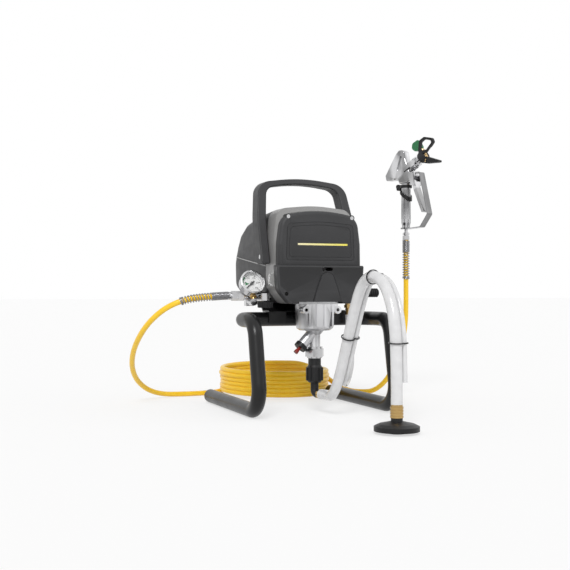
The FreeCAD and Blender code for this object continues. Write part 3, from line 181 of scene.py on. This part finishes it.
def moulded(name, colour, rough=(0.42, 0.55), grain=900, depth=0.00006, edge_shade=0.8, specular=0.3):
    """Moulded plastic: spark-eroded grain, faint flow marks, and painted shade that darkens the rounded convex
    edges.
    """
    look = Look(name, specular=specular)
    flow = look.noise(9, 4)
    base = look.blend(look.band(flow, 0.3, 0.7), tint(colour, 0.88), tint(colour, 1.12))
    # painted shade: the rounded convex edges are darkened towards a third of the colour, by the given share
    painted_edge_shade = look.add("ShaderNodeMath", operation="MULTIPLY")
    look.join(look.edge(), painted_edge_shade.inputs[0])
    painted_edge_shade.inputs[1].default_value = edge_shade
    look.colour(look.blend(painted_edge_shade.outputs[0], base, tint(colour, 0.35)))
    look.roughness(look.noise(60, 3), *rough)
    look.bump((look.noise(grain, 2), 0.35, depth), (look.noise(220, 2), 0.15, 0.0001))
    return look.made


def coated(name, colour, rough=(0.3, 0.4)):
    """Powder-coated steel tube: orange peel and a few dull handling marks."""
    look = Look(name, coat=0.05, specular=0.3)
    base = look.blend(look.band(look.noise(6, 5), 0.35, 0.65), tint(colour, 0.85), tint(colour, 1.2))
    marks = look.band(look.noise(38, 6, 0.7), 0.62, 0.72, 0, 0.35)
    look.colour(look.blend(marks, base, tint(colour, 1.9)))
    look.roughness(look.noise(25, 5), *rough)
    look.bump((look.cells(520), 0.12, 0.0002), (look.noise(1500, 2), 0.1, 0.00005))
    return look.made


def metal(name, colour, rough=(0.2, 0.32), along=(1, 1, 1), depth=0.00004, stain=0.8):
    """Turned or brushed metal; along stretches the tool marks."""
    look = Look(name, metallic=1.0)
    marks = look.noise(700, 2, 0.6, look.stretch(along))
    patch = look.band(look.noise(24, 4), 0.3, 0.7)
    look.colour(look.blend(patch, tint(colour, stain), colour))
    look.roughness(marks, *rough)
    look.bump((marks, 0.25, depth))
    return look.made


def cast_metal(name, colour, rough=(0.28, 0.42)):
    """Die-cast aluminium: fine sand grain, soft grey clouds at random and brighter convex edges."""
    look = Look(name, metallic=1.0)
    cloud = look.band(look.noise(45, 5, 0.6), 0.3, 0.7)
    base = look.blend(cloud, tint(colour, 0.74), colour)
    look.colour(look.blend(look.edge(0.52, 0.6), base, tint(colour, 1.25)))
    look.roughness(look.noise(300, 3), *rough)
    look.bump((look.noise(1100, 3), 0.3, 0.00007), (look.noise(160, 2), 0.2, 0.0001))
    return look.made


def lacquer(name, colour, rough=(0.34, 0.44)):
    """Silver lacquer on plastic: fine flakes in a clear coat."""
    look = Look(name, metallic=0.2, coat=0.1, specular=0.35)
    flakes = look.band(look.noise(1400, 2, 0.7), 0.35, 0.7)
    base = look.blend(look.band(look.noise(12, 4), 0.3, 0.7), tint(colour, 0.92), tint(colour, 1.05))
    look.colour(look.blend(flakes, base, tint(colour, 1.22)))
    look.roughness(look.noise(90, 3), *rough)
    look.bump((look.noise(1400, 2), 0.15, 0.00003))
    return look.made


def tube_plastic(name, colour, second, rough, coat):
    """Extruded hose: faint clouds in the colour, and a slight weave of the braid under the skin."""
    look = Look(name, coat=coat, ior=1.45)
    cloud = look.noise(80, 3, 0.5)
    look.colour(look.blend(look.band(cloud, 0.3, 0.7), second, colour))
    look.roughness(look.noise(130, 3), *rough)
    look.bump((look.cells(420), 0.08, 0.00012), (look.noise(900, 2), 0.1, 0.00004))
    return look.made


def glass_look():
    """Thin clear lens of the gauge."""
    look = Look("gauge_lens", specular=0.15, ior=1.45)
    look.shader.inputs["Alpha"].default_value = 0.05
    look.colour(look.blend(look.noise(30, 2), (0.95, 0.97, 0.97), (0.9, 0.93, 0.93)))
    look.roughness(look.noise(200, 3), 0.03, 0.07)
    return look.made


def gun_metal(name, colour, dark, rough=(0.1, 0.22)):
    """Chromed casting: bright faces, painted dark reflection streaks, and painted shade along the convex
    edges.
    """
    look = Look(name, metallic=1.0)
    # painted reflection: stretched noise streaks at half the colour stand in for dark surroundings mirrored in
    # the chrome
    painted_reflection_streaks = look.band(look.noise(38, 3, 0.5, look.stretch((1, 1, 0.35))), 0.42, 0.62)
    base = look.blend(painted_reflection_streaks, colour, tint(colour, 0.5))
    # painted shade: the convex edges are darkened to the dark colour
    look.colour(look.blend(look.edge(0.55, 0.66), base, dark))
    look.roughness(look.noise(200, 3), *rough)
    look.bump((look.noise(1100, 2), 0.12, 0.00003))
    return look.made


SCREW_SPLIT = 0.287


def screw_metal(bright, dark):
    """Zinc screws in the upper cover and blackened ones in the lower cover."""
    look = Look("cover_screws", metallic=1.0)
    split = look.add("ShaderNodeSeparateXYZ")
    look.join(look.place, split.inputs[0])
    worn = look.blend(look.band(look.noise(400, 3), 0.3, 0.7), tint(bright, 0.8), bright)
    look.colour(look.blend(look.band(split.outputs[2], SCREW_SPLIT - 0.001, SCREW_SPLIT + 0.001), dark, worn))
    look.roughness(look.noise(500, 2), 0.2, 0.32)
    return look.made


GUN_YAW = math.radians(-68.8)
TIP = at(295 + 54 * math.cos(GUN_YAW), 255 + 54 * math.sin(GUN_YAW), 535)
FLAG_FROM = 0.0168


def tip_look(metal_colour, flag_colour):
    """Brass barrel through the gun's head and its moulded flag, told apart by the distance from the barrel."""
    look = Look("tip_and_flag")
    offset = look.add("ShaderNodeVectorMath", operation="DISTANCE")
    look.join(look.place, offset.inputs[0])
    offset.inputs[1].default_value = TIP
    flag = look.band(offset.outputs["Value"], FLAG_FROM - 0.0002, FLAG_FROM + 0.0002)
    look.colour(look.blend(flag, metal_colour, flag_colour))
    look.join(look.band(flag, 0, 1, 1, 0), look.shader.inputs["Metallic"])
    look.roughness(look.noise(300, 3), 0.22, 0.36)
    look.bump((look.noise(900, 2), 0.2, 0.00004))
    return look.made


CHARCOAL = (0.042, 0.042, 0.044)
LOOKS = {
    "black_paint": coated("black_powder_coat", (0.007, 0.007, 0.0075), (0.26, 0.38)),
    "charcoal": moulded("charcoal_plastic", CHARCOAL),
    "black_plastic": moulded("black_plastic", (0.014, 0.014, 0.015), (0.36, 0.48)),
    "grey_shell": lacquer("silver_lacquer", (0.235, 0.233, 0.23)),
    "light_gasket": moulded("light_bead", (0.42, 0.42, 0.42), (0.4, 0.5), edge_shade=0.1),
    "screw_steel": metal("zinc_steel", (0.62, 0.62, 0.63), (0.2, 0.32)),
    "motor_steel": metal("motor_steel", (0.33, 0.33, 0.35), (0.3, 0.45)),
    "fan_plastic": moulded("fan_plastic", (0.1, 0.1, 0.1)),
    "cast_aluminium": cast_metal("cast_aluminium", (0.58, 0.58, 0.59)),
    "polished_steel": metal("polished_chrome", (0.6, 0.6, 0.62), (0.1, 0.2), (1, 1, 0.1), 0.00001, 0.7),
    "valve_steel": metal("turned_steel", (0.66, 0.66, 0.67), (0.16, 0.28), (1, 1, 8)),
    "seal": moulded("seal_rubber", (0.03, 0.03, 0.03), (0.6, 0.7)),
    "red_button": moulded("red_button", (0.26, 0.018, 0.012), (0.25, 0.35)),
    "brass": metal("brass", (0.55, 0.37, 0.15), (0.18, 0.3), (1, 1, 5), 0.00004, 0.7),
    "guard_wire": metal("spring_wire", (0.36, 0.36, 0.37), (0.2, 0.32)),
    "clip_wire": coated("clip_wire", (0.012, 0.012, 0.013)),
    "dial": moulded("dial_white", (0.92, 0.92, 0.91), (0.45, 0.55), edge_shade=0),
    "needle": coated("needle_black", (0.012, 0.012, 0.012)),
    "lens": glass_look(),
    "tip_brass": tip_look((0.6, 0.42, 0.2), (0.01, 0.16, 0.05)),
    "clear_hose": tube_plastic("clear_hose", (0.7, 0.7, 0.705), (0.64, 0.64, 0.645), (0.16, 0.24), 0.5),
    "yellow_hose": tube_plastic("yellow_hose", (0.93, 0.59, 0.022), (0.9, 0.555, 0.018), (0.28, 0.4), 0.15),
}

OWN = {"gun_body": gun_metal("gun_casting", (0.66, 0.66, 0.67), (0.2, 0.2, 0.2)),
       "gun_handle": gun_metal("gun_grip", (0.55, 0.55, 0.56), (0.3, 0.3, 0.3)),
       "gun_nut": gun_metal("gun_nut", (0.75, 0.75, 0.76), (0.3, 0.3, 0.3)),
       "trigger": gun_metal("gun_trigger", (0.6, 0.6, 0.61), (0.3, 0.3, 0.3)),
       "trigger_guard": gun_metal("gun_strap", (0.4, 0.4, 0.41), (0.2, 0.2, 0.2)),
       "case_screws": screw_metal((0.7, 0.7, 0.71), (0.02, 0.02, 0.02))}


def dress(obj, material):
    obj.data.materials.clear()
    obj.data.materials.append(material)


def finish_nodes():
    """Dress every CAD node by its material slot, or by its own look."""
    for part in frame["record"]["subparts"]:
        dress(NODES[part["node"]], OWN.get(part["node"], LOOKS[part["material_slot"]]))


# ---- hoses -------------------------------------------------------------------------------------------------
def bar(name, kind, points, radius, slot, sides):
    """Curve of the given kind through the points, as a round bar with closed ends."""
    data = bpy.data.curves.new(name, "CURVE")
    data.dimensions = "3D"
    line = data.splines.new(kind)
    line.points.add(len(points) - 1)
    for target, p in zip(line.points, points):
        target.co = (*p, 1)
    data.bevel_depth, data.bevel_resolution = radius, sides
    data.use_fill_caps = True
    obj = linked(name, data)
    dress(obj, LOOKS[slot])
    return obj


def spline(name, points, radius, slot, sides=8):
    """One open NURBS curve along the route's points."""
    obj = bar(name, "NURBS", points, radius, slot, sides)
    line = obj.data.splines[0]
    line.order_u = 3
    line.use_endpoint_u = True
    obj.data.resolution_u = 12
    return obj


def centreline(obj):
    """Points along a cord's own spline."""
    bare = obj.copy()
    bare.data = obj.data.copy()
    bare.data.bevel_depth = 0
    bpy.context.scene.collection.objects.link(bare)
    mesh = bpy.data.meshes.new_from_object(bare.evaluated_get(bpy.context.evaluated_depsgraph_get()))
    points = [v.co.copy() for v in mesh.vertices]
    bpy.data.objects.remove(bare)
    bpy.data.meshes.remove(mesh)
    return points


STRAINER_X, STRAINER_Y = 20, -227
BOW_X, BOW_Y = 5.6, 62
OVER_THE_TOP = [(-52, 151), (-78, 206), (-105, 251), (-142, 266), (-183, 254), (-211, 216), (-223, 172),
                (-226, 124)]


def bow(y, aside=0.0):
    """Sideways place of the suction hose at a depth y; the return hose runs aside of it."""
    return BOW_X + (STRAINER_X - BOW_X) * (BOW_Y - y) / (BOW_Y - STRAINER_Y) + aside


def suction_route():
    elbow = Vector((0.3, -0.954, 0))
    start = Vector((0, 80, 37)) + elbow * 18.6
    points = [start, start + elbow * 24]
    points += [(bow(y), y, z) for y, z in [(16, 38), (-6, 58), (-22, 86), (-36, 116)] + OVER_THE_TOP]
    return [at(*p) for p in points + [(STRAINER_X, STRAINER_Y, 82), (STRAINER_X, STRAINER_Y, 48)]]


def return_route():
    points = [(80, 100, 190), (80, 100, 165), (86, 94, 128), (82, 82, 92), (66, 62, 66), (48, 34, 58),
              (bow(6, 19.3), 6, 60)]
    points += [(bow(y, 15.3), y, z) for y, z in [(-18, 80), (-34, 113)] + OVER_THE_TOP]
    return [at(*p) for p in points + [(35.3, STRAINER_Y, 84)]]


LEAD = [(-165.1, 147, 228), (-205.1, 147, 226), (-248, 147, 220), (-280, 162, 204), (-303, 190, 178),
        (-314, 226, 150), (-317, 270, 120), (-312, 314, 90), (-300, 352, 64), (-281, 388, 41),
        (-252, 418, 20), (-214, 442, 8), (-172, 450, 6), (-128, 450, 6), (-90, 462, 6)]
RISER = [(176, 462, 44), (196, 424, 18), (212, 384, 6.5), (228, 350, 6), (249, 326, 9), (268, 303, 32),
         (281, 285, 68), (290, 268, 112), (295, 257, 164), (295, 255, 220), (295, 255.5, 290), (295, 255, 352)]
COIL_X, COIL_Y, COIL_R, TURN_POINTS, COIL_STEPS = 43, 422, 120.5, 16, 101


def coil_route():
    """Six turns and a third laid on each other, each a little off the one below."""
    points = []
    for i in range(COIL_STEPS + 1):
        turn = i / TURN_POINTS
        angle = math.radians(149.6) - 2 * math.pi * turn
        level = 5.8 + 9.2 * turn + 1.6 * math.sin(2 * math.pi * turn + 0.8)
        radius = COIL_R / math.cos(math.pi / TURN_POINTS) + 1.2 * math.sin(1.7 * turn) - 0.6
        x = COIL_X + 0.9 * math.sin(2.1 * turn) + radius * math.cos(angle)
        y = COIL_Y + 0.9 * math.cos(1.3 * turn) + radius * math.sin(angle)
        points.append((x, y, max(5.6, level)))
    return points


def make_hoses():
    suction = spline("suction_line", suction_route(), 0.010, "clear_hose", 10)
    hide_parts("suction_hose")
    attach(suction, "root")
    suction_route()[0]
    back = spline("return_line", return_route(), 0.0045, "clear_hose")
    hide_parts("return_hose")
    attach(back, "root")
    return_route()[0]
    route = [at(*p) for p in LEAD + coil_route() + RISER]
    pressure = spline("pressure_line", route, 0.0055, "yellow_hose")
    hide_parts("hose_lead", "hose_coil", "hose_riser")
    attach(pressure, "root")
    guards = make_guards(centreline(pressure))


def spring_along(points, start, stretches, steps=14):
    """Points of a spring round a polyline: stretches of a length and a pitch, one after the other."""
    marks = [0.0]
    for a, b in zip(points, points[1:]):
        marks.append(marks[-1] + (b - a).length)
    places = [start]
    for length, pitch in stretches:
        places += [places[-1] + pitch / steps * (i + 1) for i in range(round(length / pitch * steps))]
    made, side, k = [], None, 0
    for i, s in enumerate(places):
        while k < len(points) - 2 and marks[k + 1] < s:
            k += 1
        way = (points[k + 1] - points[k]).normalized()
        here = points[k] + way * (s - marks[k])
        side = way.orthogonal() if side is None else side
        side = (side - way * side.dot(way)).normalized()
        angle = 2 * math.pi * i / steps
        made.append(here + (side * math.cos(angle) + way.cross(side) * math.sin(angle)) * SPRING_R)
    return made


CLOSED, OPEN = 0.0024, 0.0056
SPRING_R, WIRE_R = 0.0072, 0.00115


def make_guards(line):
    """Wire springs in place of the CAD ones, at the outlet and under the gun, wound close at both ends."""
    start = at(-156, 147, 228.4)
    outlet = spring_along([start] + line, 0, [(0.034, CLOSED), (0.058, OPEN), (0.005, CLOSED)])
    upper = spring_along(line[::-1], 0.001, [(0.027, CLOSED), (0.054, OPEN), (0.005, CLOSED)])
    springs = [bar(name, "POLY", points, WIRE_R, "guard_wire", 3)
               for name, points in (("outlet_spring", outlet), ("gun_spring", upper))]
    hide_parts("hose_guards")
    for spring in springs:
        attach(spring, "root")
    return springs


make_hoses()
finish_nodes()


# ---- small pieces ------------------------------------------------------------------------------------------
def mesh_piece(name, builder, material, body):
    """Mesh filled by builder, dressed and carried by a body."""
    bm = bmesh.new()
    builder(bm)
    data = bpy.data.meshes.new(name)
    bm.to_mesh(data)
    bm.free()
    obj = linked(name, data)
    dress(obj, material)
    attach(obj, body)
    return obj


def slab(bm, corners, lift):
    """Thin plate with the given outline, raised by lift."""
    low = [bm.verts.new(c) for c in corners]
    high = [bm.verts.new(c + lift) for c in corners]
    n = len(corners)
    bm.faces.new(low[::-1])
    bm.faces.new(high)
    for i in range(n):
        bm.faces.new([low[i], low[(i + 1) % n], high[(i + 1) % n], high[i]])


GAUGE_LEAN = math.radians(25)
GAUGE_WAY = Vector((0, -math.cos(GAUGE_LEAN), math.sin(GAUGE_LEAN)))
GAUGE_UP = Vector((0, math.sin(GAUGE_LEAN), math.cos(GAUGE_LEAN)))
SCALE_FROM, SCALE_TURN, SCALE_TICKS, SCALE_RIM = -135, 270, 40, 19.6


def dial_point(radius, degrees):
    """Point on the dial's face; 0 degrees is up and the angle grows clockwise."""
    low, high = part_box("gauge_dial")
    face = (low + high) / 2 + GAUGE_WAY * 0.00055
    a = math.radians(degrees)
    return face + (X * math.sin(a) + GAUGE_UP * math.cos(a)) * radius / 1000


def dial_ticks(bm):
    """Marks of the scale, each eighth one long."""
    for i in range(SCALE_TICKS + 1):
        a = SCALE_FROM + SCALE_TURN * i / SCALE_TICKS
        r0, half = (15.8, 1.9) if i % 8 == 0 else (17.8, 0.9)
        around = ((r0, a - half), (r0, a + half), (SCALE_RIM, a + half), (SCALE_RIM, a - half))
        corners = [dial_point(r, d) for r, d in around]
        slab(bm, corners, GAUGE_WAY * 0.00008)


ARC_FROM, ARC_STEP, GREEN_LIFT = -122, 3.4, 0.00012


def dial_arc(bm):
    """Green arc along the scale, and the triangle that points from it to the middle."""
    for i in range(24):
        a0, a1 = ARC_FROM + i * ARC_STEP, ARC_FROM + (i + 1) * ARC_STEP
        corners = [dial_point(r, a) for r, a in ((16.4, a0), (16.4, a1), (SCALE_RIM, a1), (SCALE_RIM, a0))]
        slab(bm, corners[::-1], GAUGE_WAY * GREEN_LIFT)
    tip = [dial_point(4.5, -92), dial_point(13.5, -108), dial_point(13.5, -73)]
    slab(bm, tip[::-1], GAUGE_WAY * GREEN_LIFT)


def needle_blade(bm):
    """Broad blackened blade and cap over the thin needle."""
    corners = ((7.2, 37), (7.2, 63), (18, 228.3), (18, 231.7))
    slab(bm, [dial_point(r, a) + GAUGE_WAY * 0.0028 for r, a in corners][::-1], GAUGE_WAY * 0.0002)
    slab(bm, [dial_point(2.7, 18 * i) + GAUGE_WAY * 0.00395 for i in range(20)][::-1], GAUGE_WAY * 0.0005)


def dial_numbers():
    """Plain scale numbers round the dial, turned into one mesh."""
    made = []
    turn = Matrix((X, GAUGE_UP, GAUGE_WAY)).transposed().to_4x4()
    for i, text in enumerate(("0", "50", "100", "150", "200", "250")):
        data = bpy.data.curves.new("number", "FONT")
        data.body, data.size, data.align_x, data.align_y = text, 0.005, "CENTER", "CENTER"
        data.extrude = 0.00004
        obj = linked("number", data)
        place = dial_point(13.3, SCALE_FROM + SCALE_TURN / 5 * i) + GAUGE_WAY * 0.00006
        obj.matrix_world = Matrix.Translation(place) @ turn
        bpy.context.view_layer.update()
        mesh = bpy.data.meshes.new_from_object(obj.evaluated_get(bpy.context.evaluated_depsgraph_get()))
        mesh.transform(obj.matrix_world)
        made.append(mesh)
        bpy.data.objects.remove(obj)

    def build(bm):
        for mesh in made:
            bm.from_mesh(mesh)
            bpy.data.meshes.remove(mesh)
    return build


PRINT = moulded("dial_print", (0.03, 0.03, 0.03), edge_shade=0)
GREEN_PRINT = moulded("dial_green", (0.002, 0.2, 0.055), edge_shade=0)
mesh_piece("dial_ticks", dial_ticks, PRINT, "root")
mesh_piece("dial_arc", dial_arc, GREEN_PRINT, "root")
mesh_piece("dial_numbers", dial_numbers(), PRINT, "root")
mesh_piece("needle_blade", needle_blade, LOOKS["needle"], "needle")


def stripe(bm):
    """Plain stripe on the flat field of the upper cover."""
    low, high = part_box("front_cover")
    centre, z0 = (low.x + high.x) / 2, low.z + 0.0385
    x0, x1, z1 = centre - 0.047, centre + 0.057, z0 + 0.0036
    corners = [Vector((x, low.y, z)) for x, z in ((x0, z0), (x1, z0), (x1, z1), (x0, z1))]
    slab(bm, corners, Vector((0, -0.00012, 0)))


def stripe_look():
    """Yellow that pales towards the left end."""
    look = Look("stripe_yellow", specular=0.4)
    low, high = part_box("front_cover")
    split = look.add("ShaderNodeSeparateXYZ")
    look.join(look.place, split.inputs[0])
    fade = look.band(split.outputs[0], low.x + 0.03, high.x - 0.03)
    look.colour(look.blend(fade, (0.83, 0.76, 0.5), (0.8, 0.7, 0.1)))
    look.roughness(look.noise(300), 0.35, 0.45)
    return look.made


mesh_piece("cover_stripe", stripe, stripe_look(), "root")


# ---- floor, light, background ------------------------------------------------------------------------------
def seen_directly(tree):
    """1 for rays that come straight from the camera, a mirror or a glass, else 0."""
    path = tree.nodes.new("ShaderNodeLightPath")
    total = None
    for name in ("Is Camera Ray", "Is Glossy Ray", "Is Transmission Ray"):
        if total is None:
            total = path.outputs[name]
            continue
        add = tree.nodes.new("ShaderNodeMath")
        add.operation = "ADD"
        add.use_clamp = True
        tree.links.new(total, add.inputs[0])
        tree.links.new(path.outputs[name], add.inputs[1])
        total = add.outputs[0]
    return total


FLOOR_COLOUR, FLOOR_WHITE, SKY = (0.98, 0.98, 0.98, 1), 0.62, 0.55


def make_floor():
    """Matt floor that keeps the shadow, mixed with plain white where it is seen directly."""
    bm = bmesh.new()
    bmesh.ops.create_grid(bm, x_segments=1, y_segments=1, size=30)
    data = bpy.data.meshes.new("floor")
    bm.to_mesh(data)
    bm.free()
    floor = linked("floor", data)
    floor.location.z = -0.0002
    made = bpy.data.materials.new("pale_floor")
    made.use_nodes = True
    tree = made.node_tree
    shader = tree.nodes["Principled BSDF"]
    shader.inputs["Base Color"].default_value = FLOOR_COLOUR
    shader.inputs["Roughness"].default_value = 0.8
    shader.inputs["Specular IOR Level"].default_value = 0.1
    light = tree.nodes.new("ShaderNodeEmission")
    light.inputs["Strength"].default_value = 1.0
    mix = tree.nodes.new("ShaderNodeMixShader")
    share = tree.nodes.new("ShaderNodeMath")
    share.operation = "MULTIPLY"
    share.inputs[1].default_value = FLOOR_WHITE
    tree.links.new(seen_directly(tree), share.inputs[0])
    tree.links.new(share.outputs[0], mix.inputs[0])
    tree.links.new(shader.outputs[0], mix.inputs[1])
    tree.links.new(light.outputs[0], mix.inputs[2])
    tree.links.new(mix.outputs[0], tree.nodes["Material Output"].inputs["Surface"])
    dress(floor, made)


def make_world():
    """Even light from all round, and white where the background is seen directly."""
    world = bpy.data.worlds.new("studio")
    bpy.context.scene.world = world
    world.use_nodes = True
    tree = world.node_tree
    plain = tree.nodes["Background"]
    plain.inputs["Color"].default_value = (1, 1, 1, 1)
    plain.inputs["Strength"].default_value = SKY
    white = tree.nodes.new("ShaderNodeBackground")
    white.inputs["Color"].default_value = (1, 1, 1, 1)
    white.inputs["Strength"].default_value = 1.0
    mix = tree.nodes.new("ShaderNodeMixShader")
    tree.links.new(seen_directly(tree), mix.inputs[0])
    tree.links.new(plain.outputs[0], mix.inputs[1])
    tree.links.new(white.outputs[0], mix.inputs[2])
    tree.links.new(mix.outputs[0], tree.nodes["World Output"].inputs["Surface"])


def sun(name, strength, direction, angle):
    data = bpy.data.lights.new(name, "SUN")
    data.energy, data.angle = strength, math.radians(angle)
    lamp = linked(name, data)
    lamp.rotation_euler = Vector(direction).to_track_quat("-Z", "Y").to_euler()


make_floor()
make_world()
sun("key", 1.7, (0.45, 0.85, -0.8), 20)
sun("fill", 0.25, (-0.9, 0.6, -0.6), 60)
bpy.context.scene.view_settings.view_transform = "Standard"
